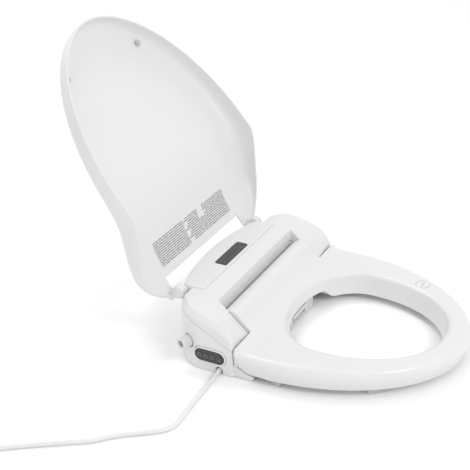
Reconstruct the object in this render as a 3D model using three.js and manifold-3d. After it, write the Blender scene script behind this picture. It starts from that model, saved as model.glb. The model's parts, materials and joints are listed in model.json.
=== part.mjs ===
// Electric bidet seat for a round-front bowl, with its lid open and its seat down.
// Millimetres, +Z up, -Y is the front, -X is the side with the controls, inlet and cord.
// The origin lies on the bowl deck, on the centre plane, under the rear unit.

import * as THREE from 'three';
import { mergeVertices } from 'three/addons/utils/BufferGeometryUtils.js';
import Module from 'manifold-3d';

const wasm = await Module();
wasm.setup();

// ---- Driving dimensions ------------------------------------------------------------------

const GAP = 0.3; // between pieces that touch
const WALL = 3; // moulded walls

// Seat
const seatHalfWidth = 198;
const seatTipY = -420.5;
const seatStraightY = -150; // the sides run straight back from here
const seatEndY = -101.5; // ends of the sides, just in front of the pods
const seatBottomZ = 12;
const seatCrownZ = 48.5;
const seatBulge = 7; // overhang of the widest edge over the bottom edge
const seatRoundness = 1.93; // exponent of the front outline, 2 is an ellipse
const frontRim = 45.5; // width of the seat in front of the opening
const sideRim = 78; // width of the seat beside the opening
const openingY = -215; // widest place of the opening
const openingRearY = -127;
const seatHinge = { y: -68, z: 62, barrel: 20, pin: 4 };

// Rear unit
const unitClearance = 4; // the unit is this much narrower than the seat on each side
const podWidth = 57.5;
const podFrontY = -100;
const neckClearance = 2; // between the seat's neck and a pod
const bridgeFrontY = -45.5;
const bridgeHeight = 106;
const rearCentreY = -40; // the rear outline is a half ellipse about this line
const rearDepth = 90;
const floorZ = 6.5; // inside floor of the lower case
const edgeFacet = 8; // sloping border along the top of the pods
const toe = { frontY: -134, height: 9 };

// Lid
const lidHinge = { y: 26, z: bridgeHeight - 9, ear: 13, pin: 4 };
const lidOpenAngle = 129.8;
const lidOverhang = 5; // the lid is this much wider than the seat on each side
const lidWall = 3.5;
const lidRimZ = 26.5;
const lidNotchFrontY = -4;
const lidNotchClearance = 1; // between the notch and the sides of the centre panel
const earWidth = 16;
const earSweep = 22; // radius kept free around the lid's axis

// Nozzles
const housingHalf = 57;
const housingFrontY = -126;
const housingTopFront = 28;
const housingTopRear = 43;
const nozzleSlope = 13; // degrees
const nozzleRadius = 5.5;
const nozzleLength = 100;
const nozzleTip = { y: -119, z: 15 };
const nozzleSpacing = 15; // each side of the centre plane

// Controls
const oval = { y: -58.5, z: 28.5, length: 53, height: 22, rim: 3 };
const buttonPitch = 12;
const buttonRadius = 4;

// Mains lead
const cordRadius = 3.5;
const cordExit = { y: -75, z: 6 };
const cordRelief = { length: 30, radius: 5.6 };
const coil = { fromExit: [-312.6, 269.7], inner: 31.5, outer: 45.5, height: 14 };

// ---- Values that follow ------------------------------------------------------------------

const unitHalf = seatHalfWidth - unitClearance;
const podInner = unitHalf - podWidth;
const neckHalf = podInner - neckClearance;
const lidHalf = seatHalfWidth + lidOverhang;
const openingHalf = seatHalfWidth - sideRim;
const panelHalf = podInner - 9.5;
const lidNotchHalf = panelHalf + lidNotchClearance;
const cordStart = -unitHalf - 0.8;
const seatFrontDepth = seatStraightY - seatTipY;

const rad = THREE.MathUtils.degToRad;
const lerp = THREE.MathUtils.lerp;
const clamp = THREE.MathUtils.clamp;
const smooth = (value, from, to) => THREE.MathUtils.smoothstep(value, from, to);

// ---- Geometry helpers --------------------------------------------------------------------

function signedVolume(geometry) {
  const p = geometry.attributes.position;
  const index = geometry.index.array;
  const [a, b, c] = [0, 0, 0].map(() => new THREE.Vector3());
  let sum = 0;
  for (let i = 0; i < index.length; i += 3) {
    a.fromBufferAttribute(p, index[i]);
    b.fromBufferAttribute(p, index[i + 1]);
    c.fromBufferAttribute(p, index[i + 2]);
    sum += a.dot(b.cross(c)) / 6;
  }
  return sum;
}

// Position and index only, shared vertices, faces pointing out.
function clean(geometry) {
  const bare = geometry.clone();
  bare.deleteAttribute('normal');
  bare.deleteAttribute('uv');
  const merged = mergeVertices(bare, 1e-4);
  if (signedVolume(merged) < 0) {
    merged.index.array.reverse();
  }
  return merged;
}

function toSolid(geometry) {
  const merged = clean(geometry);
  const vertProperties = Float32Array.from(merged.attributes.position.array);
  const triVerts = Uint32Array.from(merged.index.array);
  return new wasm.Manifold(new wasm.Mesh({ numProp: 3, vertProperties, triVerts }));
}

function toGeometry(solid) {
  const mesh = solid.getMesh();
  const geometry = new THREE.BufferGeometry();
  geometry.setAttribute('position', new THREE.BufferAttribute(mesh.vertProperties, 3));
  geometry.setIndex(new THREE.BufferAttribute(mesh.triVerts, 1));
  return geometry;
}

function join(...pieces) {
  return toGeometry(pieces.map(toSolid).reduce((a, b) => a.add(b)));
}

function cut(base, ...tools) {
  return toGeometry(tools.map(toSolid).reduce((a, b) => a.subtract(b), toSolid(base)));
}

function common(a, b) {
  return toGeometry(toSolid(a).intersect(toSolid(b)));
}

function box(x0, x1, y0, y1, z0, z1) {
  const geometry = new THREE.BoxGeometry(x1 - x0, y1 - y0, z1 - z0);
  return geometry.translate((x0 + x1) / 2, (y0 + y1) / 2, (z0 + z1) / 2);
}

// A profile of [radius, distance] points turned about the line from `start` along `direction`.
function turned(profile, start, direction, sides = 24) {
  const points = profile.map(([r, s]) => new THREE.Vector2(r, s));
  const geometry = new THREE.LatheGeometry(points, sides);
  const up = new THREE.Vector3(0, 1, 0);
  const turn = new THREE.Quaternion().setFromUnitVectors(up, new THREE.Vector3(...direction).normalize());
  return geometry.applyQuaternion(turn).translate(...start);
}

function rod(start, direction, length, radius, sides = 20) {
  return turned([[0, 0], [radius, 0], [radius, length], [0, length]], start, direction, sides);
}

function sleeve(start, direction, length, outer, inner, sides = 24) {
  const profile = [[inner, 0], [outer, 0], [outer, length], [inner, length], [inner, 0]];
  return turned(profile, start, direction, sides);
}

// A polygon of [y, z] points, drawn out along X.
function alongX(points, x0, x1) {
  const shape = new THREE.Shape(points.map(([y, z]) => new THREE.Vector2(y, z)));
  return fromYZ(shape, x0, x1);
}

function fromYZ(shape, x0, x1, curveSegments = 8) {
  const geometry = new THREE.ExtrudeGeometry(shape, { depth: x1 - x0, bevelEnabled: false, curveSegments });
  const turn = new THREE.Matrix4().makeBasis(
    new THREE.Vector3(0, 1, 0),
    new THREE.Vector3(0, 0, 1),
    new THREE.Vector3(1, 0, 0)
  );
  return geometry.applyMatrix4(turn).translate(x0, 0, 0);
}

// A shape in plan, drawn out upwards.
function upright(shape, z0, z1, curveSegments = 6) {
  const options = { depth: z1 - z0, bevelEnabled: false, curveSegments };
  return new THREE.ExtrudeGeometry(shape, options).translate(0, 0, z0);
}

function roundedRect(x0, x1, y0, y1, r, Kind = THREE.Shape) {
  const shape = new Kind();
  shape.moveTo(x0 + r, y0);
  shape.lineTo(x1 - r, y0);
  shape.absarc(x1 - r, y0 + r, r, -Math.PI / 2, 0);
  shape.lineTo(x1, y1 - r);
  shape.absarc(x1 - r, y1 - r, r, 0, Math.PI / 2);
  shape.lineTo(x0 + r, y1);
  shape.absarc(x0 + r, y1 - r, r, Math.PI / 2, Math.PI);
  shape.lineTo(x0, y0 + r);
  shape.absarc(x0 + r, y0 + r, r, Math.PI, 1.5 * Math.PI);
  return shape;
}

// The stadium of the control oval, grown by `grow` all round.
function ovalShape(grow, Kind = THREE.Shape) {
  const [l, h] = [oval.length / 2 + grow, oval.height / 2 + grow];
  return roundedRect(oval.y - l, oval.y + l, oval.z - h, oval.z + h, h - 0.01, Kind);
}

function fromTriangles(points, triangles) {
  const geometry = new THREE.BufferGeometry();
  geometry.setAttribute('position', new THREE.Float32BufferAttribute(points.flat(), 3));
  geometry.setIndex(triangles.flat());
  return geometry;
}

// Rings of equal length joined in turn. With `around` the last ring meets the first,
// otherwise both ends are closed by a fan.
function loft(rings, around) {
  const n = rings[0].length;
  const points = rings.flat();
  const triangles = [];
  const last = around ? rings.length : rings.length - 1;
  for (let i = 0; i < last; i += 1) {
    const j = (i + 1) % rings.length;
    for (let k = 0; k < n; k += 1) {
      const m = (k + 1) % n;
      triangles.push([i * n + k, j * n + k, j * n + m], [i * n + k, j * n + m, i * n + m]);
    }
  }
  if (!around) {
    [0, rings.length - 1].forEach((i) => {
      const centre = [0, 1, 2].map((axis) => rings[i].reduce((sum, p) => sum + p[axis], 0) / n);
      points.push(centre);
      for (let k = 0; k < n; k += 1) {
        const [a, b] = [i * n + k, i * n + ((k + 1) % n)];
        triangles.push(i === 0 ? [points.length - 1, a, b] : [points.length - 1, b, a]);
      }
    });
  }
  return fromTriangles(points, triangles);
}

// A block between two height functions over columns of constant x.
function slab(xs, rowsAt, top, bottom) {
  const columns = xs.map((x) => rowsAt(x).map((y) => [x, y]));
  const rows = columns[0].length;
  const upper = columns.flat().map(([x, y]) => [x, y, top(x, y)]);
  const lower = columns.flat().map(([x, y]) => [x, y, bottom(x, y)]);
  const under = upper.length;
  const triangles = [];
  const quad = (a, b, c, d) => triangles.push([a, b, c], [a, c, d]);
  for (let i = 0; i < xs.length - 1; i += 1) {
    for (let j = 0; j < rows - 1; j += 1) {
      const [a, b, c, d] = [i * rows + j, (i + 1) * rows + j, (i + 1) * rows + j + 1, i * rows + j + 1];
      quad(a, b, c, d);
      quad(under + a, under + d, under + c, under + b);
    }
  }
  const wall = (a, b) => quad(a, under + a, under + b, b);
  for (let i = 0; i < xs.length - 1; i += 1) {
    wall(i * rows, (i + 1) * rows);
    wall((i + 2) * rows - 1, (i + 1) * rows - 1);
  }
  for (let j = 0; j < rows - 1; j += 1) {
    wall(j + 1, j);
    wall((xs.length - 1) * rows + j, (xs.length - 1) * rows + j + 1);
  }
  return fromTriangles([...upper, ...lower], triangles);
}

const steps = (count, from, to) =>
  Array.from({ length: count + 1 }, (_, i) => lerp(from, to, i / count));

// ---- Scene -------------------------------------------------------------------------------

const bidetSeat = new THREE.Group();
const lidGroup = new THREE.Group();
lidGroup.position.set(0, lidHinge.y, lidHinge.z);
lidGroup.rotation.x = -rad(lidOpenAngle);
bidetSeat.add(lidGroup);

function look(color, roughness, metalness = 0) {
  return () => new THREE.MeshStandardMaterial({ color, roughness, metalness });
}

const white = look(0xf2f2f0, 0.25);
const satinWhite = look(0xe9e9e6, 0.5);
const charcoal = look(0x2b2c30, 0.3);
const softButton = look(0xb9bcc2, 0.5);
const paleRubber = look(0xd8d8d4, 0.8);
const steel = look(0xb8babd, 0.35, 1);
const boardGreen = look(0x2f6b45, 0.6);
const copper = look(0xb87333, 0.4, 1);
const darkPlastic = look(0x3a3b3f, 0.6);

function add(name, geometry, material, parent = bidetSeat) {
  const mesh = new THREE.Mesh(clean(geometry), material());
  mesh.name = name;
  parent.add(mesh);
}

// Pieces of the lid are drawn with the lid closed and turn with its group.
function addToLid(name, geometry, material) {
  add(name, geometry.translate(0, -lidHinge.y, -lidHinge.z), material, lidGroup);
}

const sides = [['left', -1], ['right', 1]];

// ---- Seat --------------------------------------------------------------------------------

const seatTangentY = -84; // the scoop meets the hinge barrel here
const archMargin = 10; // the flat part of the arch is this much wider than the nozzle housing on each side
const archHalf = housingHalf + archMargin;

function barrelTop(y, radius) {
  const across = clamp(y - seatHinge.y, -radius, radius);
  return seatHinge.z + Math.sqrt(radius * radius - across * across);
}

// Top of the seat: level round the opening, then a scoop up to the hinge barrel.
function seatTop(y) {
  const start = openingRearY + 2;
  const rise = barrelTop(seatTangentY, seatHinge.barrel) - seatCrownZ;
  if (y > seatTangentY) {
    return barrelTop(y, seatHinge.barrel);
  }
  const t = clamp((y - start) / (seatTangentY - start), 0, 1);
  return seatCrownZ + rise * t * t;
}

const housingTop = (y) =>
  lerp(housingTopFront, housingTopRear, (y - housingFrontY) / (bridgeFrontY - 0.5 - housingFrontY));

// Underside: it climbs over the toes of the pods and arches over the nozzle housing.
function seatUnderside(x, y) {
  const highest = seatHinge.z - seatHinge.barrel - 0.7;
  const ramp = seatBottomZ + 0.55 * Math.max(0, y + 125);
  const arch = housingTop(Math.max(y, housingFrontY)) + 2.2;
  const beside = smooth(Math.abs(x), archHalf, archHalf + 25);
  const reach = smooth(y, -175, -140);
  const overHousing = lerp(seatBottomZ, arch, (1 - beside) * reach);
  return Math.min(Math.max(ramp, overHousing), highest);
}

function openingEdge(angle) {
  const depth = Math.sin(angle) < 0 ? openingY - (seatTipY + frontRim) : openingRearY - openingY;
  const n = 2.1;
  const c = Math.abs(Math.cos(angle)) / openingHalf;
  const s = Math.abs(Math.sin(angle)) / depth;
  const r = (c ** n + s ** n) ** (-1 / n);
  return [r * Math.cos(angle), openingY + r * Math.sin(angle)];
}

// Places round the right half of the outline, from the tip to the middle of the neck.
// `in` points to the inside, `kind` says which outer profile runs through the place.
function seatStations() {
  const power = 2 / seatRoundness;
  const places = steps(11, 0, Math.PI / 2).map((t) => {
    const x = seatHalfWidth * Math.sin(t) ** power;
    const y = seatStraightY - seatFrontDepth * Math.abs(Math.cos(t)) ** power;
    const away = Math.hypot(x, y - openingY);
    return { x, y, in: [-x / away, (openingY - y) / away], kind: 'side' };
  });
  places.push({ x: seatHalfWidth, y: -125, in: [-1, 0], kind: 'side' });
  places.push({ x: seatHalfWidth, y: seatEndY, in: [-1, -1], kind: 'side' });
  places.push({ x: (seatHalfWidth + neckHalf) / 2, y: seatEndY, in: [0, -1], kind: 'end' });
  places.push({ x: neckHalf, y: seatEndY, in: [-1, -1], kind: 'neck' });
  places.push({ x: neckHalf, y: -92, in: [-1, 0], kind: 'neck' });
  places.push({ x: neckHalf, y: seatTangentY, in: [-1, 0], kind: 'neck' });
  places.push({ x: neckHalf, y: seatHinge.y + seatHinge.barrel, in: [-1, 0], kind: 'barrel' });
  [0.8, 0.64, 0.52, 0.4, 0.2, 0].forEach((share) => {
    places.push({ x: neckHalf * share, y: seatHinge.y + seatHinge.barrel, in: [0, 0], kind: 'barrel' });
  });
  return places;
}

// Outer points of the section, from the bottom edge up to the crown: [inset, share of height].
const outerProfiles = {
  side: [[seatBulge, 0], [0.45 * seatBulge, 0.3], [0, 0.62], [1.2, 0.82], [5, 0.95], [12, 1]],
  end: [[0, 0], [0, 0.3], [0, 0.62], [0.6, 0.82], [2, 0.95], [6, 1]],
  neck: [[0, 0], [0, 0.3], [0, 0.62], [0, 0.82], [0, 0.95], [0, 1]],
};

// Points of the section of a hinge barrel, from its underside round the back to its top.
const barrelAngles = [-90, -45, -5, 30, 60, 90].map(rad);

// The closed loop of the section at a place. `skin` shrinks the seat all round, `floor` and
// `roof` give the height of the underside and of the top at a point.
function seatSection(place, skin, floor, roof) {
  const loop = [];
  const shiftIn = (inset) => [place.x + place.in[0] * inset, place.y + place.in[1] * inset];
  if (place.kind === 'barrel') {
    const radius = seatHinge.barrel - skin;
    barrelAngles.forEach((angle, i) => {
      const x = place.x + place.in[0] * skin;
      const y = seatHinge.y + radius * Math.cos(angle);
      const z = seatHinge.z + radius * Math.sin(angle);
      loop.push([x, y, i === 0 ? floor(x, y) : clamp(z, floor(x, y), roof(x, y))]);
    });
  } else {
    outerProfiles[place.kind].forEach(([inset, share]) => {
      const [x, y] = shiftIn(inset + skin);
      loop.push([x, y, lerp(floor(x, y), roof(x, y), share)]);
    });
  }
  const crown = loop[loop.length - 1];
  const angle = Math.atan2(place.y - openingY, place.x);
  const [hx, hy] = openingEdge(angle);
  const outward = [Math.cos(angle), Math.sin(angle)];
  const fromHole = (inset, share) => {
    const x = hx + outward[0] * (inset + skin);
    const y = hy + outward[1] * (inset + skin);
    return [x, y, lerp(floor(x, y), roof(x, y), share)];
  };
  const brink = fromHole(15, 1);
  [0.7, 0.35].forEach((share) => {
    const x = lerp(brink[0], crown[0], share);
    const y = lerp(brink[1], crown[1], share);
    loop.push([x, y, roof(x, y)]);
  });
  loop.push(brink, fromHole(9, 0.92), fromHole(6.5, 0.75), fromHole(3, 0.35), fromHole(0, 0));
  return loop;
}

function mirroredRound(places, section) {
  const right = places.map(section);
  const left = right
    .slice(1, -1)
    .reverse()
    .map((loop) => loop.map(([x, y, z]) => [-x, y, z]));
  return loft([...right, ...left], true);
}

function seatBody(skin, floor, roof) {
  return mirroredRound(seatStations(), (place) => seatSection(place, skin, floor, roof));
}

function seatShell() {
  const outside = seatBody(0, seatUnderside, (x, y) => seatTop(y));
  const inside = seatBody(WALL, (x, y) => seatUnderside(x, y) - 1, (x, y) => seatTop(y) - WALL);
  const pinHoles = sides.map(([, side]) =>
    rod([side * (neckHalf - 12), seatHinge.y, seatHinge.z], [side, 0, 0], 20, seatHinge.pin + GAP)
  );
  return cut(outside, inside, ...pinHoles);
}

// Base plate, a flat-topped ring between the lips of the shell.
function seatBase() {
  return mirroredRound(seatStations(), (place) => {
    const loop = seatSection(place, WALL + 2.8, seatUnderside, (x, y) => seatTop(y));
    const [outer, hole] = [loop[0], loop[loop.length - 1]];
    const spots = steps(3, 0, 1).map((t) => [lerp(outer[0], hole[0], t), lerp(outer[1], hole[1], t)]);
    const above = spots.map(([x, y]) => [x, y, seatUnderside(x, y) + 2.5]);
    const below = spots.map(([x, y]) => [x, y, seatUnderside(x, y)]).reverse();
    return [...above, ...below];
  });
}

// Warming film under the crown, a horseshoe that leaves out the neck.
function seatHeater() {
  const under = WALL + 0.5;
  const places = seatStations().filter((place) => place.kind === 'side' && place.y < -126);
  const strip = (place) => {
    const loop = seatSection(place, WALL + 2, seatUnderside, (x, y) => seatTop(y) - under);
    const top = loop.slice(5, 9);
    const below = top.map(([x, y, z]) => [x, y, z - 0.8]).reverse();
    return [...top, ...below];
  };
  const right = places.map(strip);
  const left = right.slice(1).reverse().map((loop) => loop.map(([x, y, z]) => [-x, y, z]));
  return loft([...left, ...right], false);
}

function seatBumper(x, y) {
  const shape = roundedRect(-15, 15, -6, 6, 4);
  const geometry = upright(shape, 0, seatBottomZ - GAP, 4);
  const along = Math.atan2(y - openingY, x) + Math.PI / 2;
  return geometry.rotateZ(along).translate(x, y, 0);
}

function buildSeat() {
  add('seat_shell', seatShell(), white);
  add('seat_base', seatBase(), satinWhite);
  add('seat_heater', seatHeater(), copper);
  sides.forEach(([name, side]) => {
    const frontX = 0.65 * seatHalfWidth;
    const frontY = seatTipY + 104;
    add(`seat_bumper_rear_${name}`, seatBumper(side * (seatHalfWidth - 22), -165), paleRubber);
    add(`seat_bumper_front_${name}`, seatBumper(side * frontX, frontY), paleRubber);
    const start = [side * (neckHalf - 11), seatHinge.y, seatHinge.z];
    add(`seat_pin_${name}`, rod(start, [side, 0, 0], 24, seatHinge.pin), steel);
  });
}

// ---- Lid, drawn closed -------------------------------------------------------------------

// Height of the lid's outer crown along the centre line.
function lidCrown(y) {
  const climb = bridgeHeight - 58;
  return 73.5 + 0.029 * (y - lidHinge.y) + climb / (1 + Math.exp(-(y + 88) / 25));
}

// Height of the rim: level beside the seat, then an S up to the hinge.
function lidRim(y) {
  const t = clamp((y + 118) / 150, 0, 1);
  const top = bridgeHeight + 3.5;
  return lerp(lidRimZ, top, Math.sin((Math.PI / 2) * t ** 1.25));
}

const lidMiddleY = -150;

// Outline of the closed lid: the seat's front, straight sides and the round back of the unit.
function lidOutline() {
  const power = 2 / seatRoundness;
  const depth = seatFrontDepth + lidOverhang;
  const front = steps(12, 0, Math.PI / 2).map((t) => [
    lidHalf * Math.sin(t) ** power,
    seatStraightY - depth * Math.abs(Math.cos(t)) ** power,
  ]);
  const straight = steps(4, seatStraightY, rearCentreY).slice(1, -1).map((y) => [lidHalf, y]);
  const rear = steps(7, 0, Math.PI / 2).map((t) => [
    lidHalf * Math.cos(t),
    rearCentreY + (rearDepth + lidOverhang) * Math.sin(t),
  ]);
  return [...front, ...straight, ...rear];
}

// A point of the lid `inset` inside its outline, on the skin that lies `under` its outer face.
function lidPoint([x, y], share, inset, drop, under) {
  const away = Math.hypot(x, y - lidMiddleY);
  const scale = (1 - (inset + under) / away) * share;
  const px = x * scale;
  const py = lidMiddleY + (y - lidMiddleY) * scale;
  const crown = lidCrown(py) - 1.5 * share * share;
  return [px, py, lerp(crown, lidRim(y), drop) - under];
}

function lidSkin() {
  const half = lidOutline();
  const outline = [...half, ...half.slice(1, -1).reverse().map(([x, y]) => [-x, y])];
  const levels = [[0.2, 0, 0], [0.38, 0, 0], [0.54, 0, 0], [0.68, 0, 0], [0.8, 0, 0], [1, 24, 0.03],
    [1, 12, 0.11], [1, 3.5, 0.28], [1, 0, 0.55]];
  const ring = (under) => ([share, inset, drop]) =>
    outline.map((p) => lidPoint(p, share, inset, drop, under));
  const rim = (under) => outline.map((p) => {
    const [x, y] = lidPoint(p, 1, 0, 1, under);
    return [x, y, lidRim(p[1])];
  });
  const outer = levels.map(ring(0));
  const inner = levels.map(ring(lidWall)).reverse();
  return loft([...outer, rim(0), rim(lidWall), ...inner], false);
}

function lidEar(side) {
  const start = [side * (lidNotchHalf + 1), lidHinge.y, lidHinge.z];
  return join(
    rod(start, [side, 0, 0], earWidth, lidHinge.ear, 28),
    box(
      Math.min(start[0], start[0] + side * earWidth),
      Math.max(start[0], start[0] + side * earWidth),
      lidHinge.y - 9,
      lidHinge.y + 5,
      lidHinge.z,
      lidCrown(lidHinge.y) - 2
    )
  );
}

function lidShell() {
  const notch = box(-lidNotchHalf, lidNotchHalf, lidNotchFrontY, 100, 40, 200);
  const ears = sides.map(([, side]) => lidEar(side));
  const bosses = sides.map(([, side]) => lidBoss(side));
  const pinHoles = sides.map(([, side]) =>
    rod([side * lidNotchHalf, lidHinge.y, lidHinge.z], [side, 0, 0], 12, lidHinge.pin + GAP)
  );
  const sockets = sides.map(([, side]) =>
    rod([side * lidBumper.x, lidBumper.y, seatCrownZ], [0, 0, 1], bumperTopZ - seatCrownZ, lidBumper.radius + GAP)
  );
  return cut(join(cut(lidSkin(), notch), ...ears, ...bosses), ...pinHoles, ...sockets);
}

const lidBumper = { x: 0.53 * seatHalfWidth, y: seatTipY + 64.5, radius: 5 };
const bumperTopZ = seatCrownZ + 4;

function lidBoss(side) {
  const start = [side * lidBumper.x, lidBumper.y, bumperTopZ];
  const height = lidCrown(lidBumper.y) - 5 - bumperTopZ;
  return rod(start, [0, 0, 1], height, lidBumper.radius + 2);
}

function buildLid() {
  addToLid('lid_shell', lidShell(), white);
  sides.forEach(([name, side]) => {
    const foot = [side * lidBumper.x, lidBumper.y, seatCrownZ + 0.5];
    const height = bumperTopZ - GAP - foot[2];
    addToLid(`lid_bumper_${name}`, rod(foot, [0, 0, 1], height, lidBumper.radius), paleRubber);
    const inner = [side * (lidNotchHalf - 11), lidHinge.y, lidHinge.z];
    addToLid(`lid_pin_${name}`, rod(inner, [side, 0, 0], 22.5, lidHinge.pin), steel);
  });
}

// ---- Rear unit ---------------------------------------------------------------------------

// Arched outer edge of a pod, with a rounded front.
function podOuterEdge(y) {
  const round = 32;
  const fromFront = clamp(y - (podFrontY - 2.5), 0, round);
  const drop = round - Math.sqrt(round * round - (round - fromFront) ** 2);
  return bridgeHeight + 1 - 0.27 * Math.max(0, -12 - y) - drop;
}

// Inner edge of a pod: straight up from its front to the bridge.
function podInnerEdge(y) {
  const front = bridgeHeight - 56;
  const back = bridgeHeight - 8;
  return lerp(front, back, clamp((y - podFrontY) / (bridgeFrontY - podFrontY), 0, 1)) + bridgeRise(y);
}

const panelFrontY = -15;

// The bridge rises gently to the centre panel.
function bridgeRise(y) {
  return 8 * smooth(y, bridgeFrontY - 12, panelFrontY + 6);
}

// Line of the side ridge, which is also the parting line of the two mouldings.
function ridge(y) {
  const slope = 0.54;
  const top = bridgeHeight - 18;
  return Math.min(top + slope * (y + 22), top);
}

// Distance from the outline of the unit, measured inwards.
function fromOutline(x, y) {
  if (y < rearCentreY) {
    return unitHalf - Math.abs(x);
  }
  const [u, v] = [x / unitHalf, (y - rearCentreY) / rearDepth];
  const steep = Math.hypot(u / unitHalf, v / rearDepth);
  return (1 - u * u - v * v) / (2 * Math.max(steep, 1e-3));
}

function unitTop(x, y) {
  const t = clamp((Math.abs(x) - podInner) / (podWidth - edgeFacet), 0, 1);
  const inner = y < bridgeFrontY ? podInnerEdge(y) : bridgeHeight - 8 + bridgeRise(y);
  const crown = lerp(inner, podOuterEdge(y), t);
  const low = Math.min(Math.max(ridge(y) + 1, crown - 10), crown);
  const facet = clamp(fromOutline(x, y) / edgeFacet, 0, 1);
  return lerp(low, crown, facet);
}

function unitRear(x, skin) {
  const share = clamp(Math.abs(x) / (unitHalf - skin), 0, 1);
  return rearCentreY + (rearDepth - skin) * Math.sqrt(1 - share * share);
}

// The whole unit as a block, shrunk all round by `skin`.
function unitBlock(skin, bottomZ) {
  const roof = (x, y) => unitTop(x, y) - skin;
  const bottom = () => bottomZ;
  const rowsFrom = (front) => (x) => {
    const rear = unitRear(x, skin);
    const near = [0, 0.08, 0.18, 0.34, 0.52, 0.76].map((t) => lerp(front, rear - edgeFacet, t));
    return [...near, rear - edgeFacet, rear - edgeFacet / 2, rear];
  };
  const bridgeXs = steps(8, -podInner - skin - 1, podInner + skin + 1);
  const bridge = slab(bridgeXs, rowsFrom(bridgeFrontY + skin), roof, bottom);
  const inner = podInner + skin;
  const outer = unitHalf - skin;
  const across = [0, 0.34, 0.66, 0.88].map((t) => lerp(inner, outer - 1, t));
  const podXs = [...across, outer - 3, outer - 0.6, outer];
  const right = slab(podXs, rowsFrom(podFrontY + skin), roof, bottom);
  const left = slab([...podXs].reverse().map((x) => -x), rowsFrom(podFrontY + skin), roof, bottom);
  return join(bridge, right, left);
}

function sweptByEar(radius, from) {
  return sides.map(([, side]) =>
    rod([side * from, lidHinge.y, lidHinge.z], [side, 0, 0], unitHalf, radius, 40)
  );
}

function unitShell() {
  const outside = cut(unitBlock(0, 0), ...sweptByEar(earSweep, lidNotchHalf + 0.6));
  const inside = cut(unitBlock(WALL, floorZ), ...sweptByEar(earSweep + WALL, lidNotchHalf - 2.4));
  return cut(outside, inside);
}

// Everything above (or below) the parting line.
function partingBlock(above) {
  const offset = above ? GAP : 0;
  const line = [-300, -22, 300].map((y) => [y, ridge(y) + offset]);
  const far = above ? 400 : -100;
  return alongX([...line, [300, far], [-300, far]], -400, 400);
}

// The low toe of a pod, which reaches forward under the seat.
function podToe(side) {
  const [x0, x1] = [podInner + 13.5, unitHalf - 3];
  const profile = [[podFrontY + 2, 0], [toe.frontY, 0], [toe.frontY, toe.height - 2],
    [toe.frontY + 2, toe.height], [-125, toe.height + 1], [podFrontY + 2, toe.height + 14]];
  return alongX(profile, Math.min(side * x0, side * x1), Math.max(side * x0, side * x1));
}

const platePocket = { half: 104, front: -36, rear: 33, depth: 2.5 };

function seatPinHoles() {
  return sides.map(([, side]) =>
    rod([side * (podInner - 3), seatHinge.y, seatHinge.z], [side, 0, 0], 8, seatHinge.pin + GAP)
  );
}

const inletRoot = [-(unitHalf - 6), -17, 43.5];
const inletDirection = [-0.932, 0.361, 0];
const inletRadius = 10.45;

function lowerCase() {
  const { half, front, rear, depth } = platePocket;
  const body = join(common(unitShell(), partingBlock(false)), podToe(-1), podToe(1));
  const pocket = box(-half - 0.5, half + 0.5, front - 0.5, rear + 0.5, -1, depth + GAP);
  const controls = fromYZ(ovalShape(oval.rim + GAP), -unitHalf - 5, -unitHalf + 8);
  const start = inletRoot.map((value, i) => value - inletDirection[i] * 12);
  const inletHole = rod(start, inletDirection, 40, inletRadius + GAP);
  const slotHalf = cordRelief.radius + 0.6;
  const slotLength = cordRelief.length + 8;
  const cordSlot = join(
    box(-unitHalf - 5, -unitHalf - 5 + slotLength, cordExit.y - slotHalf, cordExit.y + slotHalf, -1, cordExit.z),
    rod([-unitHalf - 5, cordExit.y, cordExit.z], [1, 0, 0], slotLength, slotHalf)
  );
  const window = box(-housingHalf + 6, housingHalf - 6, bridgeFrontY - 5, bridgeFrontY + 8, floorZ + 3, 41);
  return cut(body, pocket, controls, inletHole, cordSlot, window, ...seatPinHoles());
}

function upperCover() {
  const body = common(unitShell(), partingBlock(true));
  const recess = box(-panelHalf - GAP, panelHalf + GAP, panelFrontY - GAP, 60, bridgeHeight - 3, 200);
  const backing = cut(
    common(
      unitBlock(WALL - 0.5, floorZ),
      box(-panelHalf - 3, panelHalf + 3, panelFrontY - 3, 60, bridgeHeight - 6, bridgeHeight - 3)
    ),
    ...sweptByEar(earSweep + 1, lidNotchHalf - 2)
  );
  const pins = sides.map(([, side]) =>
    rod([side * (lidNotchHalf - 12), lidHinge.y, lidHinge.z], [side, 0, 0], 16, lidHinge.pin + GAP)
  );
  const dampers = rod(lidDamper.start, [-1, 0, 0], lidDamper.length, lidDamper.radius + GAP);
  return cut(join(cut(body, recess), backing), ...pins, ...seatPinHoles(), dampers);
}

const lidDamper = {
  start: [lidNotchHalf - 11.5, lidHinge.y, lidHinge.z],
  length: 34,
  radius: 4.6,
};

const windowHalf = { x: 42, y: 11.25 };
const windowY = 2.25;

function windowOutline(grow, Kind = THREE.Shape) {
  const [w, h] = [windowHalf.x + grow, windowHalf.y + grow];
  return roundedRect(-w, w, windowY - h, windowY + h, 3 + grow, Kind);
}

function centrePanel() {
  const slice = box(-panelHalf, panelHalf, panelFrontY, 60, bridgeHeight - 3 + GAP, bridgeHeight + 5);
  const pocket = upright(windowOutline(GAP), bridgeHeight - 1.5, bridgeHeight + 2);
  return cut(common(unitBlock(0, 0), slice), pocket);
}

function displayWindow() {
  return upright(windowOutline(0), bridgeHeight - 1.5 + GAP, bridgeHeight - 0.2);
}

// Steel plate that is bolted to the bowl; the unit slides onto it.
function mountPlate() {
  const { half, front, rear, depth } = platePocket;
  const shape = roundedRect(-half, half, front, rear, 8);
  [-70, 70].forEach((x) => shape.holes.push(roundedRect(x - 6, x + 6, -22, 22, 5.9, THREE.Path)));
  return upright(shape, 0, depth, 3);
}

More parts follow.
